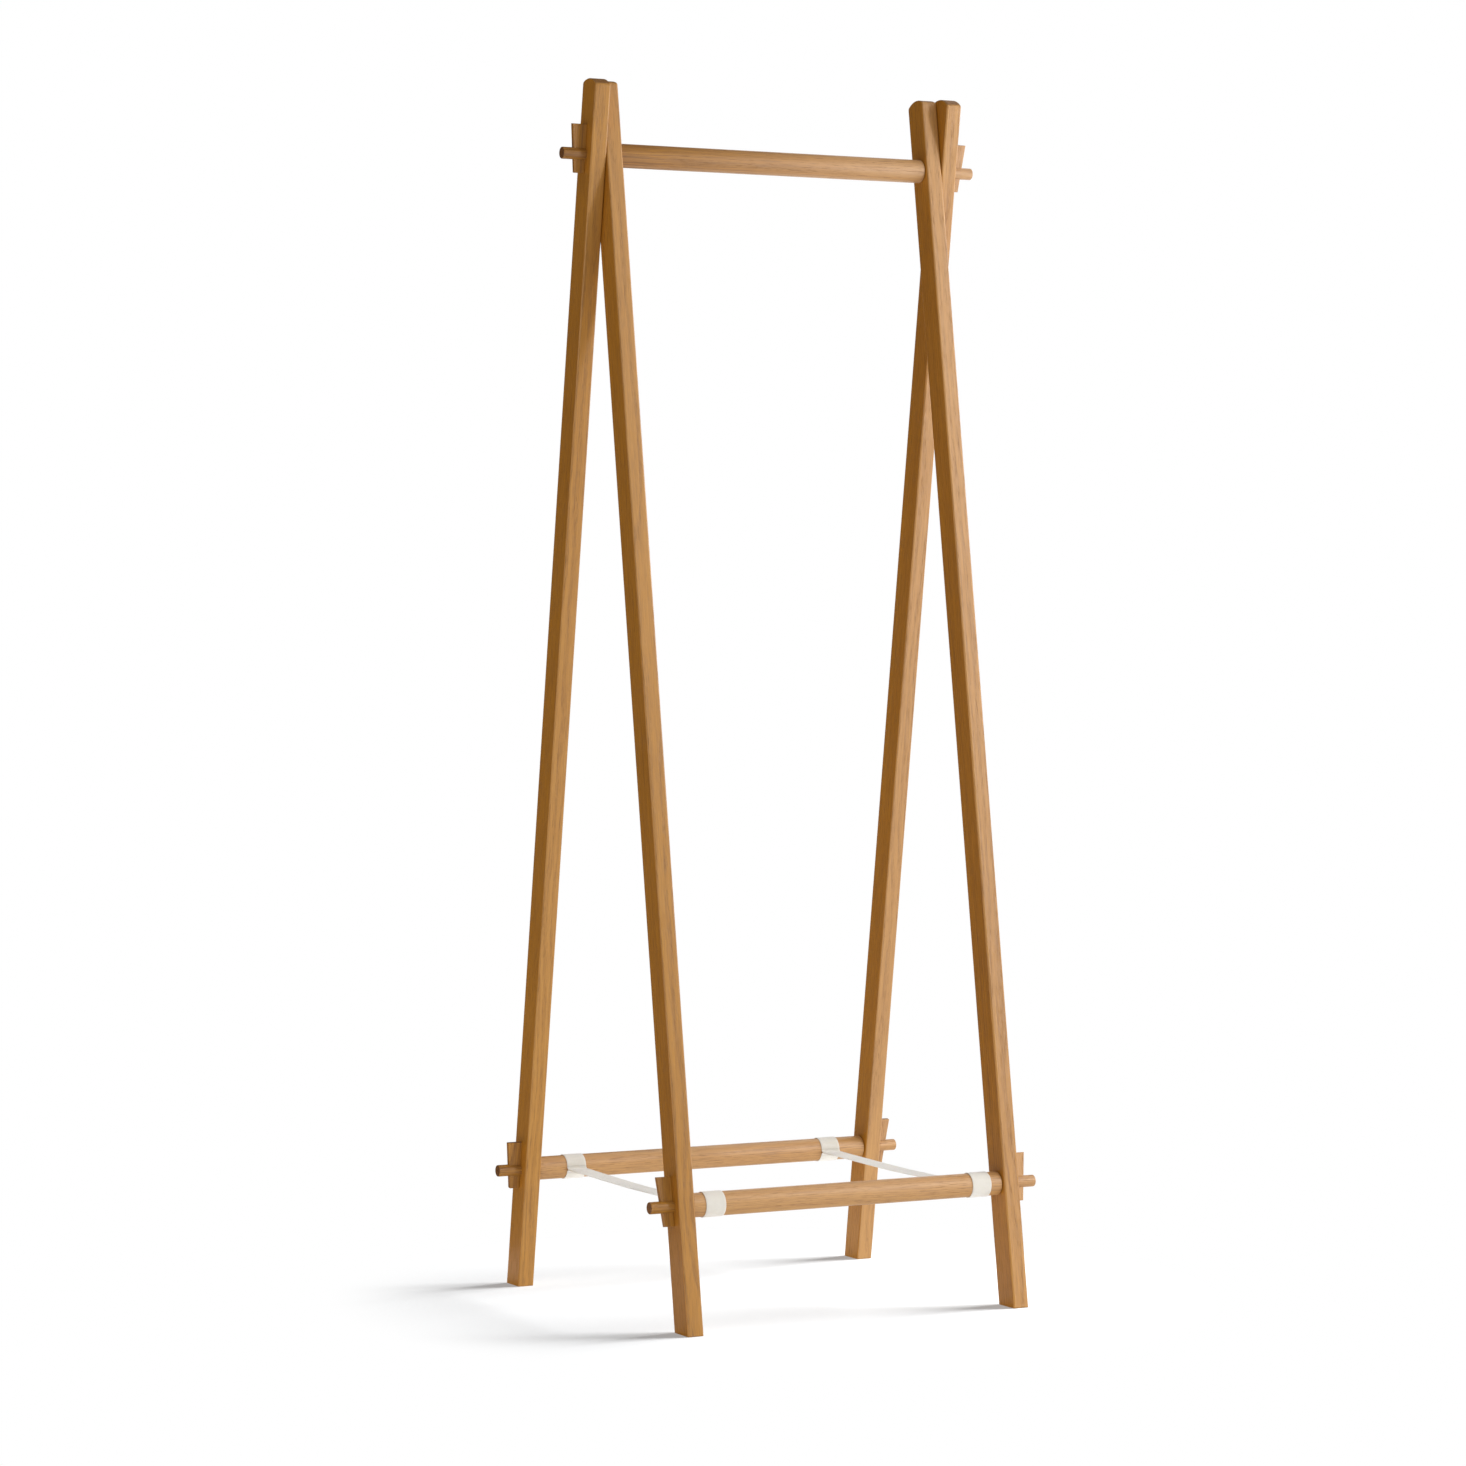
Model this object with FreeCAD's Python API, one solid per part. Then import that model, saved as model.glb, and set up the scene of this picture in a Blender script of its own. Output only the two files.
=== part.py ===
import FreeCAD, Part
import math
import os

from FreeCAD import Placement, Rotation, Vector

# A folding clothes rack: two leg frames that cross at the hanging rail and stand apart as an A.
# X runs along the rails, Y to the back and Z up from the floor, with the origin midway between the feet.

# Stance, in millimetres and degrees
pivot_height = 1552.5
spread_angle = 17.46
clear_width = 469.5
stretcher_height = 164.8

# Legs
leg_width = 23.5
leg_depth = 40.0
leg_head = 100.5
leg_crown_radius = 35.0
leg_corner_radius = 5.0
leg_edge_radius = 2.5
foot_chamfer = 1.0

# Rails and their turned tenons
rail_diameter = 32.0
rail_shoulder_radius = 1.5
tenon_diameter = 16.0
tenon_tail = 16.9
tenon_tip_radius = 1.2

# Wedges that hold the tenons, with their width taken at the tenon's axis
wedge_width = 17.1
wedge_taper = 6.0
wedge_thickness = 6.0
wedge_rise = 39.5
wedge_drop = 25.7
wedge_edge_radius = 0.6
slot_relief = 2.0

# Straps, with their centre lines measured in from the inner legs
strap_width = 29.0
strap_thickness = 0.9
strap_sag = 2.7
strap_crease_drop = 2.2
strap_throat_radius = 3.0
strap_inset = 32.75

# Clearances
leg_gap = 0.3
shoulder_gap = 0.3
tenon_clearance = 0.05
wedge_seat_gap = 0.05
wedge_side_gap = 0.2
strap_gap = 0.3

# What follows from those sizes
lean = spread_angle / 2
lean_slope = math.tan(math.radians(lean))
leg_reach = pivot_height / math.cos(math.radians(lean))
stretcher_reach = leg_reach - stretcher_height / math.cos(math.radians(lean))
stretcher_offset = stretcher_reach * math.sin(math.radians(lean))
rail_radius = rail_diameter / 2
tenon_radius = tenon_diameter / 2
inner_leg_near = clear_width / 2
inner_leg_far = inner_leg_near + leg_width
outer_leg_near = inner_leg_far + leg_gap
outer_leg_far = outer_leg_near + leg_width
wedge_slope = math.tan(math.radians(wedge_taper))

# How each frame leans about the hanging rail: the outer one's feet stand back, the inner one's forward
outer_lean = lean
inner_lean = -lean

along_x = Vector(1, 0, 0)
tolerance = 1e-6


def leaning(shape, angle):
    """Carries a piece from upright, with the pivot at the origin, to where its frame stands."""
    placed = shape.copy()
    stance = Placement(Vector(0, 0, pivot_height), Rotation(along_x, angle))
    placed.Placement = stance.multiply(placed.Placement)
    return placed


def mirrored(shape):
    return shape.mirror(Vector(0, 0, 0), along_x)


def segment(start, end):
    return Part.LineSegment(start, end).toShape()


def lies_on_face(edge, x):
    return all(abs(vertex.X - x) < tolerance for vertex in edge.Vertexes)


def runs_along_x(edge):
    first, last = edge.Vertexes[0].Point, edge.Vertexes[-1].Point
    return math.hypot(first.y - last.y, first.z - last.z) < tolerance


def leg(near, angle):
    """A leg with a crowned head, eased edges, two bores and a sole cut level with the floor."""
    half = leg_depth / 2
    far = near + leg_width
    shoulder = leg_head - leg_crown_radius + math.sqrt(leg_crown_radius**2 - half**2)
    sole_rise = math.copysign(half * lean_slope, angle)
    foot_front = Vector(near, -half, -leg_reach + sole_rise)
    foot_back = Vector(near, half, -leg_reach - sole_rise)
    head_front = Vector(near, -half, shoulder)
    head_back = Vector(near, half, shoulder)
    crown = Part.Arc(head_front, Vector(near, 0, leg_head), head_back).toShape()
    front_edge = segment(foot_front, head_front)
    back_edge = segment(head_back, foot_back)
    sole = segment(foot_back, foot_front)
    blank = Part.Face(Part.Wire([front_edge, crown, back_edge, sole])).extrude(along_x * leg_width)

    above_sole = -leg_reach + leg_depth
    sole_edges = [edge for edge in blank.Edges if edge.CenterOfMass.z < above_sole]
    blank = blank.makeChamfer(foot_chamfer, sole_edges)
    head_corners = [edge for edge in blank.Edges if runs_along_x(edge) and edge.CenterOfMass.z > 0]
    blank = blank.makeFillet(leg_corner_radius, head_corners)
    rims = [edge for edge in blank.Edges if lies_on_face(edge, near) or lies_on_face(edge, far)]
    blank = blank.makeFillet(leg_edge_radius, [edge for edge in rims if edge.CenterOfMass.z > above_sole])

    for height in (0, -stretcher_reach):
        start = Vector(near - leg_width, 0, height)
        blank = blank.cut(Part.makeCylinder(tenon_radius + tenon_clearance, 3 * leg_width, start, along_x))
    return leaning(blank, angle)


def tapered_block(inner, outer, half, low, high):
    """A block whose inner side stands at X = inner and whose outer side leans out from X = outer at Z = 0."""
    corners = [
        Vector(inner, -half, low),
        Vector(outer + low * wedge_slope, -half, low),
        Vector(outer + high * wedge_slope, -half, high),
        Vector(inner, -half, high),
    ]
    return Part.Face(Part.makePolygon(corners + corners[:1])).extrude(Vector(0, 2 * half, 0))


def wedge(face, height):
    """A wedge with its flat side on the leg face at X = face and its wide end up."""
    inner = face + wedge_seat_gap
    block = tapered_block(inner, inner + wedge_width, wedge_thickness / 2, -wedge_drop, wedge_rise)
    block = block.makeFillet(wedge_edge_radius, block.Edges)
    block.translate(Vector(0, 0, height))
    return block


def wedge_slot(face, height):
    inner = face - slot_relief
    outer = face + wedge_width + 2 * wedge_seat_gap
    slot = tapered_block(inner, outer, wedge_thickness / 2 + wedge_side_gap, -tenon_diameter, tenon_diameter)
    slot.translate(Vector(0, 0, height))
    return slot


def turned(radius, half_length, height, end_radius):
    """A round bar along X with rounded rims."""
    bar = Part.makeCylinder(radius, 2 * half_length, Vector(-half_length, 0, height), along_x)
    return bar.makeFillet(end_radius, [edge for edge in bar.Edges if edge.Closed])


def rail(shoulder, face, height):
    """A rail whose thick part ends at X = shoulder and whose slots take wedges on the faces at X = face."""
    body = turned(rail_radius, shoulder, height, rail_shoulder_radius)
    tenons = turned(tenon_radius, face + wedge_width + tenon_tail, height, tenon_tip_radius)
    slot = wedge_slot(face, height)
    return body.fuse(tenons).cut(slot).cut(mirrored(slot))


def strap(centre):
    """A flat strap with a loop round each stretcher and a band that sags between them."""
    start = centre - strap_width / 2
    loop_radius = rail_radius + strap_gap
    half_span = stretcher_offset - loop_radius - strap_thickness / 2
    crease = stretcher_height - strap_crease_drop
    faces = []
    for height in (crease - strap_thickness / 2, crease + strap_thickness / 2):
        front = Vector(start, -half_span, height)
        back = Vector(start, half_span, height)
        middle = Vector(start, 0, height - strap_sag)
        faces.append((front, middle, back))
    under, over = faces
    outline = [
        Part.Arc(*under).toShape(),
        segment(under[2], over[2]),
        Part.Arc(*reversed(over)).toShape(),
        segment(over[0], under[0]),
    ]
    band = Part.Face(Part.Wire(outline)).extrude(along_x * strap_width)
    axes = [Vector(start, y, stretcher_height) for y in (-stretcher_offset, stretcher_offset)]
    for axis in axes:
        band = band.fuse(Part.makeCylinder(loop_radius + strap_thickness, strap_width, axis, along_x))
    throats = [edge for edge in band.Edges if runs_along_x(edge) and abs(edge.CenterOfMass.y) < half_span]
    band = band.makeFillet(strap_throat_radius, throats)
    for axis in axes:
        band = band.cut(Part.makeCylinder(loop_radius, strap_width, axis, along_x))
    return band.removeSplitter()


nodes = {}

for name, near, angle in (
    ("outer_leg", outer_leg_near, outer_lean),
    ("inner_leg", inner_leg_near, inner_lean),
):
    nodes[name + "_right"] = leg(near, angle)
    nodes[name + "_left"] = mirrored(nodes[name + "_right"])

for rail_name, wedge_name, shoulder, face, height, angle in (
    ("hanging_rail", "top_wedge", inner_leg_near, outer_leg_far, 0, outer_lean),
    ("back_stretcher", "back_wedge", outer_leg_near, outer_leg_far, -stretcher_reach, outer_lean),
    ("front_stretcher", "front_wedge", inner_leg_near, inner_leg_far, -stretcher_reach, inner_lean),
):
    nodes[rail_name] = leaning(rail(shoulder - shoulder_gap, face, height), angle)
    nodes[wedge_name + "_right"] = leaning(wedge(face, height), angle)
    nodes[wedge_name + "_left"] = mirrored(nodes[wedge_name + "_right"])

nodes["strap_right"] = strap(inner_leg_near - strap_inset)
nodes["strap_left"] = mirrored(nodes["strap_right"])

os.makedirs("parts", exist_ok=True)
for name, shape in nodes.items():
    shape.exportStep("parts/" + name + ".step")
    print(name, len(shape.Solids), shape.isValid(), round(shape.Volume), shape.BoundBox)
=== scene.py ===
import math

import bmesh
import bpy
from mathutils import Matrix, Vector


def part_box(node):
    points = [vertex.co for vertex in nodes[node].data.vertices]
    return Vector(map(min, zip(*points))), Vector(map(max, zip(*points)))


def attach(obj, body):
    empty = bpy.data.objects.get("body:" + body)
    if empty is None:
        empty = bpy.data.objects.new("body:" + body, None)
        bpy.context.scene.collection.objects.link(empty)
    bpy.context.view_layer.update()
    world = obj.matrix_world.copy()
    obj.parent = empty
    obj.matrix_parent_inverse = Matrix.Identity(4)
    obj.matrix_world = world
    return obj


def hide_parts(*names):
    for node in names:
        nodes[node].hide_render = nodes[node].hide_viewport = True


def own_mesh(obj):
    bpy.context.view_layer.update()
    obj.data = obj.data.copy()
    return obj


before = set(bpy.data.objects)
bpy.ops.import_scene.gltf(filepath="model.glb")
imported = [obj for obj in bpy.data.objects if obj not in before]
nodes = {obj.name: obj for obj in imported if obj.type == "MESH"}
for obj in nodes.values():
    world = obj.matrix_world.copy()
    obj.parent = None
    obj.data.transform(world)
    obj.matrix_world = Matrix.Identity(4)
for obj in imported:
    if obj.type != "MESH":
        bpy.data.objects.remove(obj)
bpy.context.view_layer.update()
scene = bpy.context.scene
millimetre = 0.001

# Camera, with its turn about Z, its tilt down, and its lens and sensor in millimetres
camera_place = (-2.7542, -5.1924, 0.9537)
camera_azimuth = math.radians(-27.438)
camera_elevation = math.radians(1.752)
camera_lens = 105.19
camera_sensor = 36.0

# Lamps: shape, size, power, place, aim, whether they show in the wood's sheen, and what they light
lamps = {
    # Key light on the right, a little above the rack's head
    "key": ("DISK", (1.3, 1.3), 42.0, (3.10, -1.00, 1.80), (0.0, 0.0, 0.8), True, "rack"),
    # Tall soft box at the front right, which shows as sheen on the right legs and rail ends
    "soft_box": ("RECTANGLE", (0.6, 2.6), 28.0, (1.85, -2.33, 1.30), (0.0, 0.0, 0.9), True, "rack"),
    # Soft light from the front right and above
    "front_fill": ("RECTANGLE", (1.2, 1.2), 11.0, (1.39, -2.41, 2.75), (0.0, 0.0, 0.8), False, "rack"),
    # Broad far light from the right that casts the rack's shadow on the floor
    "floor_key": ("DISK", (4.0, 4.0), 1600.0, (5.40, -0.66, 2.54), (0.0, 0.0, 0.0), False, "floor"),
    # Weak fill from the left
    "fill": ("RECTANGLE", (1.8, 1.6), 7.5, (-2.9, -0.9, 0.9), (0.0, 0.0, 0.8), True, "rack"),
    # Fill from behind
    "back_fill": ("RECTANGLE", (1.8, 2.0), 40.0, (0.5, 3.2, 1.3), (0.0, 0.0, 0.9), False, "rack"),
}

# Soft light on the rack from overhead, with the direction to it
sky_towards = (0.0, -0.32, 0.95)
sky_strength = 1.62
sky_angle = math.radians(100)

# Dim light from all round
ambient = 0.06

# Floor: how it takes light, what is seen of it, and where the rack's surroundings fade to white
floor_half = 30.0
floor_albedo = 0.24
floor_shown = 0.50
floor_glow = 0.32
floor_tint = (0.985, 1.0, 1.015)
floor_fade_start = 0.38
floor_fade_end = 0.62

# Light that comes back from the floor, strongest around a place behind the rack
floor_bounce_near = 1.02
floor_bounce_far = 0.58
floor_bounce_centre = (0.0, 0.55, 0.0)
floor_bounce_start = 0.3
floor_bounce_end = 1.9

# Dark screens: the two ends of each upright one, and two corners of the one overhead
upright_screens = {
    "back_screen": ((-0.95, 0.05), (0.45, 1.10)),
    "front_screen": ((0.30, -3.20), (1.70, -2.62)),
}
ceiling_low = (-3.0, -2.5)
ceiling_high = (1.2, 2.5)
screen_height = 3.0
screen_colour = (0.03, 0.03, 0.03)

# Oak's figure, as waves per millimetre across the grain both ways and along it
drift_waves = (1 / 70, 1 / 70, 1 / 420)
ripple_waves = (1 / 11, 1 / 11, 1 / 90)
fibre_waves = (0.9, 0.9, 0.014)
streak_waves = (1 / 5, 1 / 5, 1 / 420)
patch_waves = (1 / 130, 1 / 130, 1 / 260)
broken_waves = (0.55, 0.55, 0.026)
pore_waves = (1.25, 1.25, 0.06)

# Growth rings in millimetres, with the early wood in shares of a ring
drift_reach = (16.0, 16.0, 0.0)
ripple_reach = (1.6, 1.6, 0.0)
ring_width = 2.8
uneven_waves = (1 / 7, 1.0, 1.0)
uneven_rings = 2.4
early_rise = (0.0, 0.12)
early_fall = (0.25, 0.75)

# Where noise turns into broken grain or pores, and the strength of pores anywhere and added in early wood
broken_limits = (0.47, 0.66)
pore_limits = (0.50, 0.64)
pores_all = 0.30
pores_early = 0.70

# Lightness of the oak, what each feature adds to it, and the colours from dark to light
oak_tone = 0.68
fibre_tone = 0.75
streak_tone = 0.22
patch_tone = 0.30
early_tone = -0.15
broken_tone = -0.30
oak_colours = (
    (0.05, (0.205, 0.082, 0.010)),
    (0.40, (0.370, 0.160, 0.018)),
    (0.65, (0.465, 0.210, 0.027)),
    (1.00, (0.560, 0.286, 0.056)),
)
# Painted sheen: a paler tan mixed in, most on the right pieces, the hanging rail's right end and the
# stretchers
painted_sheen_colour = (0.56, 0.36, 0.22, 1.0)
pore_colour = (0.190, 0.082, 0.020, 1.0)
pore_amount = 0.50

# Sides that face left get painted shade, and end grain its own darker tint, each as the surface turns from
# one limit to the other
left_shade_limits = (-0.55, -0.92)
painted_left_shade_tint = (1.0, 0.86, 0.38, 1.0)
end_limits = (0.55, 0.92)
end_tint = (0.42, 0.36, 0.30, 1.0)
end_amount = 0.80

# Surface of the oak, with heights in millimetres
oak_specular = 0.62
oak_roughness = 0.34
fibre_roughness = -0.25
pore_roughness = 0.40
end_roughness = 0.15
fibre_height = 0.05
pore_height = -0.07
early_height = -0.012
oak_bump = 0.6

# Each wooden piece has its own cut from the log: how its grain lies, where the heart was in millimetres,
# how strong the broken grain is, then its lightness and its painted sheen, each from its low or left end to
# its high or right end, and for the stretchers how much painted shade darkens the left tenon
lean = math.radians(8.73)
outer_turn = (-lean, 0.0, 0.0)
inner_turn = (lean, 0.0, 0.0)
rail_turn = (0.0, -math.pi / 2, 0.0)
cuts = {
    "outer_leg_left": (outer_turn, (330.0, 60.0, 100.0), 0.5, (0.02, -0.02), (0.04, 0.04)),
    "outer_leg_right": (outer_turn, (-205.0, 75.0, 2400.0), 0.5, (0.02, -0.08), (0.28, 0.10)),
    "inner_leg_left": (inner_turn, (312.0, -62.0, 4700.0), 0.5, (-0.10, -0.02), (0.05, 0.14)),
    "inner_leg_right": (inner_turn, (-300.0, 48.0, 7100.0), 0.5, (-0.15, -0.06), (0.05, 0.19)),
    "hanging_rail": (rail_turn, (1530.0, 42.0, 9300.0), 0.5, (-0.37, 0.12), (0.0, 0.52)),
    "front_stretcher": (rail_turn, (120.0, 250.0, 11200.0), 1.0, (0.10, 0.10), (0.32, 0.36), 0.35),
    "back_stretcher": (rail_turn, (210.0, -180.0, 13300.0), 1.0, (0.10, 0.08), (0.33, 0.33), 0.35),
    # The left wedges are made darker than the right ones as painted shade from the legs beside them
    "top_wedge_left": (outer_turn, (345.0, 30.0, 15100.0), 0.6, (-0.28, -0.26), (0.0, 0.0)),
    "top_wedge_right": (outer_turn, (-250.0, 52.0, 16300.0), 0.6, (0.05, 0.05), (0.35, 0.35)),
    "back_wedge_left": (outer_turn, (350.0, 22.0, 17200.0), 0.6, (-0.26, -0.16), (0.0, 0.0)),
    "back_wedge_right": (outer_turn, (-262.0, 38.0, 18100.0), 0.6, (0.10, 0.10), (0.40, 0.40)),
    "front_wedge_left": (inner_turn, (315.0, -40.0, 19400.0), 0.6, (-0.24, -0.26), (0.0, 0.0)),
    "front_wedge_right": (inner_turn, (-235.0, 61.0, 20700.0), 0.6, (0.05, 0.05), (0.2, 0.2)),
}

# How far in from its end the painted shade on a tenon is at its full darkness, and where that has faded out
tenon_shade_full = 0.034
tenon_shade_end = 0.056

# Straps, in metres, with the power that shapes the sag
strap_gap = 0.00015
strap_thickness = 0.0009
strap_half = strap_thickness / 2
strap_corner = 0.0004
strap_band_drop = 0.0020
strap_tail_drop = 0.0030
strap_sag = 0.0027
strap_sag_power = 1.4
strap_upper_bend = 0.0040
strap_lower_bend = 0.0050
strap_tail = 0.030

# The rounded edge's middle points, as shares of the corner inwards and of the half thickness upwards
strap_edge_in = 0.3
strap_edge_up = 0.7

# Stitches in metres, with their arch, sink and taper as shares of the thread's radius
stitch_length = 0.0026
stitch_pitch = 0.0033
stitch_inset = 0.0035
stitch_start = 0.0065
stitch_arch = 1.2
stitch_sink = 0.5
stitch_taper = 0.5
thread_radius = 0.00022

# How finely the straps are divided
strap_columns = 12
loop_steps = 72
bend_steps = 10
span_steps = 60
tail_steps = 8
stitch_rings = 4
stitch_sides = 6

# Places of the two materials in a strap's mesh
cloth_slot = 0
thread_slot = 1

# Strap cloth: weave, slubs and stains in millimetres, and what they do to its shade and height
cloth_colour = (0.74, 0.705, 0.635)
thread_colour = (0.77, 0.735, 0.665)
weave_pitch = 0.8
slub_waves = (0.35, 2.2, 1.0)
stain_waves = (1 / 40, 1 / 15, 1.0)
cloth_shade = 0.97
slub_shade = 0.10
weave_shade = 0.035
stain_shade = 0.10
slub_height = 0.06
weave_height = 0.05
cloth_bump = 0.5
cloth_finish = {
    "Roughness": 0.9,
    "Specular IOR Level": 0.2,
    "Sheen Weight": 0.8,
    "Subsurface Weight": 0.6,
    "Subsurface Radius": (1.0, 1.0, 0.9),
    "Subsurface Scale": millimetre,
}


def add(name, data):
    made = bpy.data.objects.new(name, data)
    scene.collection.objects.link(made)
    return made


# Node graphs
class Graph:
    """Adds nodes to a tree, with inputs given as sockets or plain values."""

    def __init__(self, tree):
        self.tree = tree

    def node(self, kind, inputs=(), **settings):
        made = self.tree.nodes.new(kind)
        for key, value in settings.items():
            setattr(made, key, value)
        for key, value in dict(inputs).items():
            self.feed(made.inputs[key], value)
        return made

    def feed(self, socket, value):
        if isinstance(value, bpy.types.NodeSocket):
            self.tree.links.new(value, socket)
        else:
            socket.default_value = value

    def math(self, operation, first, second=0.0, third=0.0):
        inputs = {0: first, 1: second, 2: third}
        return self.node("ShaderNodeMath", inputs, operation=operation).outputs[0]

    def total(self, base, *parts):
        """The base plus each value times its amount."""
        for value, amount in parts:
            base = self.math("MULTIPLY_ADD", value, amount, base)
        return base

    def vector(self, operation, first, second=(0.0, 0.0, 0.0)):
        return self.node("ShaderNodeVectorMath", {0: first, 1: second}, operation=operation).outputs[0]

    def length(self, vector):
        return self.node("ShaderNodeVectorMath", {0: vector}, operation="LENGTH").outputs["Value"]

    def split(self, vector):
        return self.node("ShaderNodeSeparateXYZ", {0: vector}).outputs

    def ramp(self, value, start, end, low=0.0, high=1.0):
        """Goes smoothly from low at start to high at end."""
        inputs = {0: value, 1: start, 2: end, 3: low, 4: high}
        return self.node("ShaderNodeMapRange", inputs, interpolation_type="SMOOTHSTEP").outputs[0]

    def noise(self, point, waves, detail=2.0, roughness=0.5, output="Fac"):
        inputs = {
            "Vector": self.vector("MULTIPLY", point, waves),
            "Scale": 1.0,
            "Detail": detail,
            "Roughness": roughness,
        }
        return self.node("ShaderNodeTexNoise", inputs).outputs[output]

    def swing(self, point, waves, **settings):
        """Noise that swings about zero."""
        return self.math("SUBTRACT", self.noise(point, waves, **settings), 0.5)

    def wander(self, point, waves, reach):
        """Noise that swings about zero each way, over the reach."""
        drift = self.vector("SUBTRACT", self.noise(point, waves, output="Color"), (0.5, 0.5, 0.5))
        return self.vector("MULTIPLY", drift, reach)

    def mix(self, factor, first, second, blend="MIX"):
        made = self.node("ShaderNodeMix", data_type="RGBA", blend_type=blend)
        self.feed(made.inputs["Factor"], factor)
        self.feed(made.inputs["A"], first)
        self.feed(made.inputs["B"], second)
        return made.outputs["Result"]

    def colours(self, value, stops):
        made = self.node("ShaderNodeValToRGB", {0: value})
        band = made.color_ramp.elements
        while len(band) < len(stops):
            band.new(0.5)
        for stop, (place, colour) in zip(band, stops):
            stop.position = place
            stop.color = (*colour, 1.0)
        return made.outputs["Color"]

    def bump(self, strength, height):
        inputs = {"Strength": strength, "Distance": millimetre, "Height": height}
        return self.node("ShaderNodeBump", inputs).outputs[0]

    def matt(self, colour):
        return self.node("ShaderNodeBsdfDiffuse", {"Color": (*colour, 1.0)}).outputs[0]

    def glow(self, strength):
        return self.node("ShaderNodeEmission", {"Strength": strength}).outputs[0]

    def add_shaders(self, first, second):
        return self.node("ShaderNodeAddShader", {0: first, 1: second}).outputs[0]

    def mix_shaders(self, factor, first, second):
        return self.node("ShaderNodeMixShader", {0: factor, 1: first, 2: second}).outputs[0]

    def show(self, shader, kind="ShaderNodeOutputMaterial"):
        self.feed(self.node(kind).inputs["Surface"], shader)


def new_material(name):
    made = bpy.data.materials.new(name)
    made.use_nodes = True
    made.node_tree.nodes.clear()
    return made, Graph(made.node_tree)


# Oak, worked out in millimetres with the grain along Z and the heart of the tree on the Z axis
oak_sockets = (
    ("Point", "NodeSocketVector", "INPUT"),
    ("Normal", "NodeSocketVector", "INPUT"),
    ("Tone", "NodeSocketFloat", "INPUT"),
    # Two inputs carry painted light: one for painted sheen, one for painted shade on sides that face left
    ("PaintedSheen", "NodeSocketFloat", "INPUT"),
    ("Grain", "NodeSocketFloat", "INPUT"),
    ("PaintedLeftShade", "NodeSocketFloat", "INPUT"),
    ("Color", "NodeSocketColor", "OUTPUT"),
    ("Roughness", "NodeSocketFloat", "OUTPUT"),
    ("Normal", "NodeSocketVector", "OUTPUT"),
)


def oak_group():
    group = bpy.data.node_groups.new("oak", "ShaderNodeTree")
    for name, kind, in_out in oak_sockets:
        group.interface.new_socket(name=name, in_out=in_out, socket_type=kind)
    g = Graph(group)
    inlet = g.node("NodeGroupInput").outputs
    point = inlet["Point"]

    # Slow wander of the stem, then growth rings round the heart with uneven spacing
    drift = g.wander(point, drift_waves, drift_reach)
    ripple = g.wander(point, ripple_waves, ripple_reach)
    grown = g.vector("ADD", g.vector("ADD", point, drift), ripple)
    radius = g.length(g.vector("MULTIPLY", grown, (1.0, 1.0, 0.0)))
    years = g.node("ShaderNodeCombineXYZ", {"X": radius}).outputs[0]
    uneven = g.noise(years, uneven_waves, detail=1.0)
    ring = g.math("ADD", g.math("DIVIDE", radius, ring_width), g.math("MULTIPLY", uneven, uneven_rings))
    ring = g.math("FRACT", ring)
    early = g.math("MULTIPLY", g.ramp(ring, *early_rise), g.ramp(ring, *early_fall, 1.0, 0.0))

    # Fibres, long streaks, broad patches and broken lines of darker grain
    fibre = g.swing(point, fibre_waves, detail=4.0, roughness=0.7)
    streak = g.swing(grown, streak_waves, detail=3.0, roughness=0.6)
    patch = g.swing(point, patch_waves)
    broken = g.ramp(g.noise(grown, broken_waves, roughness=0.6), *broken_limits)
    broken = g.math("MULTIPLY", broken, inlet["Grain"])

    # Open pores, drawn out along the grain and gathered in the early wood
    dash = g.ramp(g.noise(grown, pore_waves, roughness=0.6), *pore_limits)
    pore = g.math("MULTIPLY", dash, g.math("MULTIPLY_ADD", early, pores_early, pores_all))

    tone = g.total(
        g.math("ADD", oak_tone, inlet["Tone"]),
        (fibre, fibre_tone),
        (streak, streak_tone),
        (patch, patch_tone),
        (early, early_tone),
        (broken, broken_tone),
    )
    colour = g.colours(tone, oak_colours)

    # Painted shade: sides that face left are tinted a deeper yellow brown, and get no painted sheen
    painted_left_shade = inlet["PaintedLeftShade"]
    painted_sheen = g.math("MULTIPLY", inlet["PaintedSheen"], g.math("SUBTRACT", 1.0, painted_left_shade))
    colour = g.mix(painted_sheen, colour, painted_sheen_colour)
    colour = g.mix(painted_left_shade, colour, painted_left_shade_tint, "MULTIPLY")
    colour = g.mix(g.math("MULTIPLY", pore, pore_amount), colour, pore_colour)

    # End grain drinks more oil and is darker
    end = g.ramp(g.math("ABSOLUTE", g.split(inlet["Normal"])["Z"]), *end_limits)
    colour = g.mix(g.math("MULTIPLY", end, end_amount), colour, end_tint, "MULTIPLY")

    rougher = ((fibre, fibre_roughness), (pore, pore_roughness), (end, end_roughness))
    roughness = g.total(oak_roughness, *rougher)
    height = g.total(0.0, (fibre, fibre_height), (pore, pore_height), (early, early_height))
    g.node("NodeGroupOutput", {"Color": colour, "Roughness": roughness, "Normal": g.bump(oak_bump, height)})
    return group


oak = oak_group()


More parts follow.
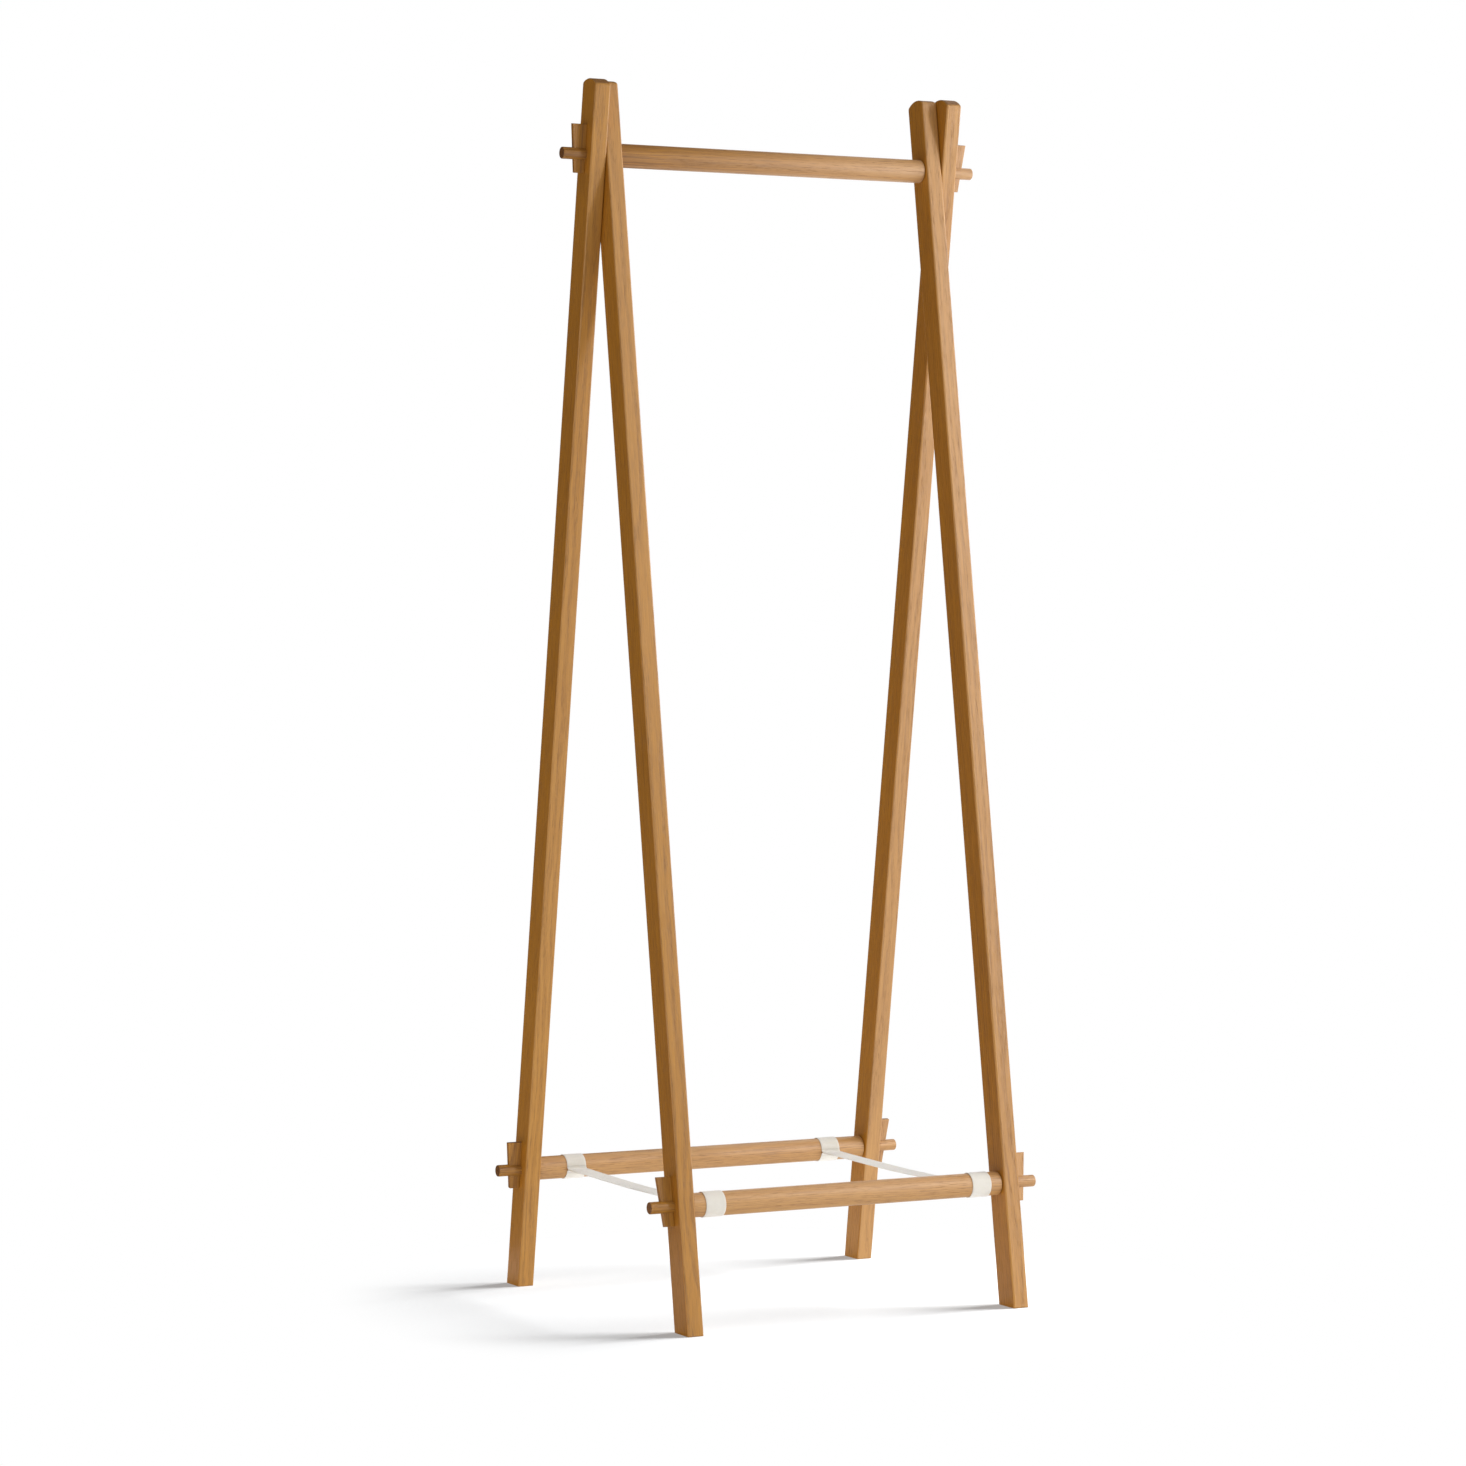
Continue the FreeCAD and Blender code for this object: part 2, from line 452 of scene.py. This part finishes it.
def oak_material(name, turn, heart, grain, tones, painted_sheens, tenon_shade=0.0):
    """Oak whose grain is brought to Z by turn, with the heart of its tree the given millimetres away."""
    made, g = new_material(name + "_oak")
    place = g.node("ShaderNodeTexCoord").outputs
    scale = (1 / millimetre,) * 3
    in_log = {"Vector": place["Object"], "Location": heart, "Rotation": turn, "Scale": scale}
    turned = {"Vector": place["Normal"], "Rotation": turn}
    low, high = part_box(name)
    axis = max(range(3), key=lambda i: high[i] - low[i])
    along = g.split(place["Object"])[axis]
    tone = g.ramp(along, low[axis], high[axis], *tones)
    # Painted sheen, changing along the piece
    painted_sheen = g.ramp(along, low[axis], high[axis], *painted_sheens)
    # Painted shade on the left tenon, which also takes away its painted sheen
    if tenon_shade:
        tenon = g.ramp(along, low[axis] + tenon_shade_end, low[axis] + tenon_shade_full)
        tone = g.math("MULTIPLY_ADD", tenon, -tenon_shade, tone)
        painted_sheen = g.math("MULTIPLY", painted_sheen, g.math("SUBTRACT", 1.0, tenon))
    figure = {
        "Point": g.node("ShaderNodeMapping", in_log).outputs[0],
        "Normal": g.node("ShaderNodeMapping", turned, vector_type="VECTOR").outputs[0],
        "Tone": tone,
        "PaintedSheen": painted_sheen,
        "Grain": grain,
        # Painted shade on sides that face left
        "PaintedLeftShade": g.ramp(g.split(place["Normal"])["X"], *left_shade_limits),
    }
    wood = g.node("ShaderNodeGroup", figure, node_tree=oak).outputs
    shader = g.node("ShaderNodeBsdfPrincipled", {"Specular IOR Level": oak_specular})
    g.feed(shader.inputs["Base Color"], wood["Color"])
    g.feed(shader.inputs["Roughness"], wood["Roughness"])
    g.feed(shader.inputs["Normal"], wood["Normal"])
    g.show(shader.outputs[0])
    return made


for node, cut in cuts.items():
    mesh = nodes[node].data
    mesh.materials.clear()
    mesh.materials.append(oak_material(node, *cut))


# Strap cloth, woven in millimetres along and across the strap
def strap_material(name, colour):
    made, g = new_material(name)
    place = g.node("ShaderNodeAttribute", attribute_name="weave").outputs["Vector"]
    along, across, _ = g.split(place)
    warp = g.math("SINE", g.math("MULTIPLY", across, 2 * math.pi / weave_pitch))
    weft = g.math("SINE", g.math("MULTIPLY", along, 2 * math.pi / weave_pitch))
    weave = g.math("MULTIPLY", warp, weft)
    slub = g.swing(place, slub_waves, detail=3.0)
    stain = g.swing(place, stain_waves)
    shade = g.total(cloth_shade, (slub, slub_shade), (weave, weave_shade), (stain, stain_shade))
    grey = g.node("ShaderNodeCombineXYZ", {0: shade, 1: shade, 2: shade}).outputs[0]
    height = g.total(0.0, (slub, slub_height), (weave, weave_height))
    shader = g.node("ShaderNodeBsdfPrincipled", cloth_finish)
    g.feed(shader.inputs["Base Color"], g.mix(1.0, (*colour, 1.0), grey, "MULTIPLY"))
    g.feed(shader.inputs["Normal"], g.bump(cloth_bump, height))
    g.show(shader.outputs[0])
    return made


cloth = strap_material("strap_cloth", cloth_colour)
thread = strap_material("strap_thread", thread_colour)


# Straps, each a ribbon in the Y-Z plane: a loop round each stretcher, a band between, and tails sewn under
def arc(centre, radius, start, end, steps):
    angles = [start + (end - start) * i / steps for i in range(steps + 1)]
    return [(centre[0] + radius * math.cos(a), centre[1] + radius * math.sin(a)) for a in angles]


def strap_section(width):
    """The strap's cross-section with rounded edges, as (across, through) points."""
    half_width = width / 2
    inset = half_width - strap_corner
    edge = half_width - strap_edge_in * strap_corner
    section = []
    for side in (1, -1):
        for i in range(strap_columns + 1):
            section.append((side * inset * (1 - 2 * i / strap_columns), side * strap_half))
        section.append((-side * edge, side * strap_half * strap_edge_up))
        section.append((-side * half_width, 0.0))
        section.append((-side * edge, -side * strap_half * strap_edge_up))
    return section


def skin(bm, rows, slot):
    """Closes a tube through the rows of vertices."""
    count = len(rows[0])
    faces = [bm.faces.new(rows[0]), bm.faces.new(reversed(rows[-1]))]
    for first, second in zip(rows, rows[1:]):
        for k in range(count):
            following = (k + 1) % count
            faces.append(bm.faces.new((first[k], first[following], second[following], second[k])))
    for face in faces:
        face.smooth = True
        face.material_index = slot


def ribbon(bm, weave, path, middle, width):
    """Sweeps the strap's cross-section along a path of (y, z) points and returns the path's length."""
    section = strap_section(width)
    length = 0.0
    rows = []
    for i, (y, z) in enumerate(path):
        before = path[max(i - 1, 0)]
        after = path[min(i + 1, len(path) - 1)]
        run = Vector((after[0] - before[0], after[1] - before[1])).normalized()
        if i:
            length += math.dist(path[i - 1], path[i])
        row = []
        for across, through in section:
            vert = bm.verts.new((middle + across, y - run.y * through, z + run.x * through))
            vert[weave] = (length / millimetre, across / millimetre, through / millimetre)
            row.append(vert)
        rows.append(row)
    skin(bm, rows, cloth_slot)
    return length


def stitch(bm, weave, start, end, up):
    """A thread that comes out of the cloth at start, arches over it and goes back in at end."""
    sideways = up.cross(end - start).normalized()
    rows = []
    for i in range(stitch_rings + 1):
        share = i / stitch_rings
        swell = math.sin(math.pi * share)
        centre = start.lerp(end, share) + up * thread_radius * (stitch_arch * swell - stitch_sink)
        radius = thread_radius * (stitch_taper + (1 - stitch_taper) * swell)
        row = []
        for k in range(stitch_sides):
            angle = 2 * math.pi * k / stitch_sides
            vert = bm.verts.new(centre + radius * (math.cos(angle) * sideways + math.sin(angle) * up))
            vert[weave] = (share * stitch_length / millimetre, angle * radius / millimetre, 0.0)
            row.append(vert)
        rows.append(row)
    skin(bm, rows, thread_slot)


def sewn_outline(bm, weave, corners, surface, up):
    """Stitches along the outline of (across, reach) corners, on the surface that gives each one's place."""
    half = stitch_length / stitch_pitch / 2
    for (x0, r0), (x1, r1) in zip(corners, corners[1:] + corners[:1]):
        count = round(math.dist((x0, r0), (x1, r1)) / stitch_pitch)
        for i in range(count):
            shares = [(i + 0.5 + offset) / count for offset in (-half, half)]
            start, end = (surface(x0 + (x1 - x0) * t, r0 + (r1 - r0) * t) for t in shares)
            stitch(bm, weave, start, end, up)


def new_bmesh():
    bm = bmesh.new()
    weave = bm.verts.layers.float_vector.new("weave")
    return bm, weave


def finish_mesh(bm, name):
    bmesh.ops.recalc_face_normals(bm, faces=bm.faces)
    mesh = bpy.data.meshes.new(name)
    bm.to_mesh(mesh)
    bm.free()
    for material in (cloth, thread):
        mesh.materials.append(material)
    return add(name, mesh)


# The stretchers' axes as (y, z), and the radius at which the straps' middle lies round both
axes = {}
for end in ("front", "back"):
    low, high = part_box(end + "_stretcher")
    axes[end] = ((low.y + high.y) / 2, (low.z + high.z) / 2)
wrap = (high.z - low.z) / 2 + strap_gap + strap_half

# Where the plies leave a stretcher, in u from its axis towards the rack's middle and w up from it
upper_w = strap_upper_bend - strap_band_drop
upper_u = math.sqrt((wrap + strap_upper_bend) ** 2 - upper_w**2)
upper_angle = math.atan2(upper_w, upper_u)
lower_w = -strap_tail_drop - strap_lower_bend
lower_u = math.sqrt((wrap + strap_lower_bend) ** 2 - lower_w**2)
lower_angle = math.atan2(lower_w, lower_u)


def placed(end, points):
    """Carries (u, w) points to the (y, z) where they lie at the front or back stretcher."""
    y, z = axes[end]
    towards = 1 if end == "front" else -1
    return [(y + towards * u, z + w) for u, w in points]


loop_path = arc((0.0, 0.0), wrap, upper_angle, lower_angle + 2 * math.pi, loop_steps)
upper_path = arc((upper_u, upper_w), strap_upper_bend, upper_angle + math.pi, 1.5 * math.pi, bend_steps)
lower_path = arc((lower_u, lower_w), strap_lower_bend, lower_angle + math.pi, math.pi / 2, bend_steps)
front_bend = placed("front", upper_path)
back_bend = placed("back", upper_path)[::-1]
(span_front_y, span_front_z), (span_back_y, span_back_z) = front_bend[-1], back_bend[0]
span_y = span_back_y - span_front_y
span_z = span_back_z - span_front_z


def sagged(t):
    """The band's middle line, at a share of the way from its front bend to its back bend."""
    slack = 1 - abs(2 * t - 1) ** strap_sag_power
    return (span_front_y + span_y * t, span_front_z + span_z * t - strap_sag * slack)


def over_tail(end, reach):
    """The band's middle line, above a tail's given reach from its bend."""
    t = (lower_u + reach - upper_u) / span_y
    return sagged(t if end == "front" else 1 - t)


def strap_loop(node, end, body, middle, width):
    bm, weave = new_bmesh()
    length = ribbon(bm, weave, placed(end, loop_path), middle, width)
    loop = finish_mesh(bm, node + "_" + end + "_loop")
    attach(loop, body)
    return loop, length


def strap_end(bm, weave, end, middle, width):
    """A tail under the band, and the outline of stitches that holds it, seen above and below."""
    under = strap_tail_drop - strap_band_drop
    tail = placed(end, lower_path)
    for i in range(1, tail_steps + 1):
        y, z = over_tail(end, strap_tail * i / tail_steps)
        tail.append((y, z - under))
    length = ribbon(bm, weave, tail, middle, width)
    stitch_side = width / 2 - stitch_inset
    stitch_end = strap_tail - stitch_inset
    corners = [
        (-stitch_side, stitch_start),
        (stitch_side, stitch_start),
        (stitch_side, stitch_end),
        (-stitch_side, stitch_end),
    ]
    for rise, up in ((strap_half, Vector((0, 0, 1))), (-under - strap_half, Vector((0, 0, -1)))):

        def surface(across, reach):
            y, z = over_tail(end, reach)
            return Vector((middle + across, y, z + rise))

        sewn_outline(bm, weave, corners, surface, up)
    return length


def strap_band(node, middle, width):
    bm, weave = new_bmesh()
    span = [sagged(i / span_steps) for i in range(1, span_steps)]
    length = ribbon(bm, weave, front_bend + span + back_bend, middle, width)
    for end in ("front", "back"):
        length += strap_end(bm, weave, end, middle, width)
    band = finish_mesh(bm, node + "_band")
    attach(band, "outer_frame")
    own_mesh(band)
    return band, length


for node in ("strap_left", "strap_right"):
    low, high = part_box(node)
    middle = (low.x + high.x) / 2
    width = high.x - low.x
    front_loop = strap_loop(node, "front", "inner_frame", middle, width)
    back_loop = strap_loop(node, "back", "outer_frame", middle, width)
    band = strap_band(node, middle, width)
    for piece, length in (band, front_loop, back_loop):
        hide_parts(node)


# Floor, white to the camera: it takes the rack's shadow near the feet and glows evenly further off
def white_seen(g):
    """One for rays that show the background, whether straight, through glass or in a gloss."""
    path = g.node("ShaderNodeLightPath").outputs
    seen = g.math("MAXIMUM", path["Is Camera Ray"], path["Is Transmission Ray"])
    return g.math("MAXIMUM", seen, path["Is Glossy Ray"])


def floor_material():
    made, g = new_material("floor")
    place = g.node("ShaderNodeTexCoord").outputs["Object"]
    paper = g.matt((floor_albedo,) * 3)

    # What is seen, straight or in a gloss
    bright = g.add_shaders(g.matt([floor_shown * share for share in floor_tint]), g.glow(floor_glow))
    straight = g.node("ShaderNodeLightPath").outputs["Is Camera Ray"]
    near = g.mix_shaders(straight, paper, bright)
    fade = g.ramp(g.length(place), floor_fade_start, floor_fade_end)
    shown = g.mix_shaders(fade, near, g.glow(1.0))

    # What lights the rack from below
    aside = g.length(g.vector("SUBTRACT", place, floor_bounce_centre))
    level = g.ramp(aside, floor_bounce_start, floor_bounce_end, floor_bounce_near, floor_bounce_far)
    unseen = g.add_shaders(paper, g.glow(level))
    g.show(g.mix_shaders(white_seen(g), unseen, shown))
    return made


def stage_plane(name, corners, material):
    mesh = bpy.data.meshes.new(name)
    mesh.from_pydata(corners, [], [(0, 1, 2, 3)])
    mesh.materials.append(material)
    made = add(name, mesh)
    return made


def level_corners(low, high, z):
    (x0, y0), (x1, y1) = low, high
    return [(x0, y0, z), (x1, y0, z), (x1, y1, z), (x0, y1, z)]


def upright_corners(first, second, height):
    return [(*first, 0.0), (*second, 0.0), (*second, height), (*first, height)]


floor_corners = level_corners((-floor_half,) * 2, (floor_half,) * 2, 0.0)
floor = stage_plane("floor", floor_corners, floor_material())

# Dark screens that show only in the wood's sheen
screen_material, g = new_material("screen")
g.show(g.matt(screen_colour))


def dark_screen(name, corners):
    made = stage_plane(name, corners, screen_material)
    made.visible_camera = False
    made.visible_diffuse = False
    made.visible_shadow = False


for name, ends in upright_screens.items():
    dark_screen(name, upright_corners(*ends, screen_height))
dark_screen("ceiling_screen", level_corners(ceiling_low, ceiling_high, screen_height))

# World, white to the camera and dim as a light
world = bpy.data.worlds.new("studio")
world.use_nodes = True
world.node_tree.nodes.clear()
g = Graph(world.node_tree)
dim = g.node("ShaderNodeBackground", {"Color": (1.0, 1.0, 1.0, 1.0), "Strength": ambient}).outputs[0]
white = g.node("ShaderNodeBackground", {"Color": (1.0, 1.0, 1.0, 1.0), "Strength": 1.0}).outputs[0]
g.show(g.mix_shaders(white_seen(g), dim, white), "ShaderNodeOutputWorld")
scene.world = world

# What a lamp lights: the rack with all but the floor, or the floor alone
off_floor = bpy.data.collections.new("off_floor")
off_floor.objects.link(floor)
off_floor.collection_objects[0].light_linking.link_state = "EXCLUDE"
floor_only = bpy.data.collections.new("floor_only")
floor_only.objects.link(floor)
receivers = {"rack": off_floor, "floor": floor_only}


# Lamps
def lamp(name, shape, size, power, place, aim, in_sheen, lit):
    data = bpy.data.lights.new(name, "AREA")
    data.shape = shape
    data.size, data.size_y = size
    data.energy = power
    made = add(name, data)
    made.location = place
    made.rotation_euler = (Vector(aim) - Vector(place)).to_track_quat("-Z", "Y").to_euler()
    made.visible_camera = False
    made.visible_glossy = in_sheen
    made.light_linking.receiver_collection = receivers[lit]


for name, settings in lamps.items():
    lamp(name, *settings)
sky_data = bpy.data.lights.new("sky", "SUN")
sky_data.energy = sky_strength
sky_data.angle = sky_angle
sky = add("sky", sky_data)
sky.rotation_euler = Vector(sky_towards).to_track_quat("Z", "Y").to_euler()
sky.light_linking.receiver_collection = off_floor

# Camera
camera_data = bpy.data.cameras.new("camera")
camera_data.lens = camera_lens
camera_data.sensor_width = camera_sensor
camera = add("camera", camera_data)
forward = Vector((
    -math.sin(camera_azimuth) * math.cos(camera_elevation),
    math.cos(camera_azimuth) * math.cos(camera_elevation),
    -math.sin(camera_elevation),
))
right = Vector((math.cos(camera_azimuth), math.sin(camera_azimuth), 0.0))
up = right.cross(forward)
facing = Matrix((right, up, -forward)).transposed().to_4x4()
camera.matrix_world = Matrix.Translation(camera_place) @ facing
scene.camera = camera

scene.view_settings.view_transform = "Standard"
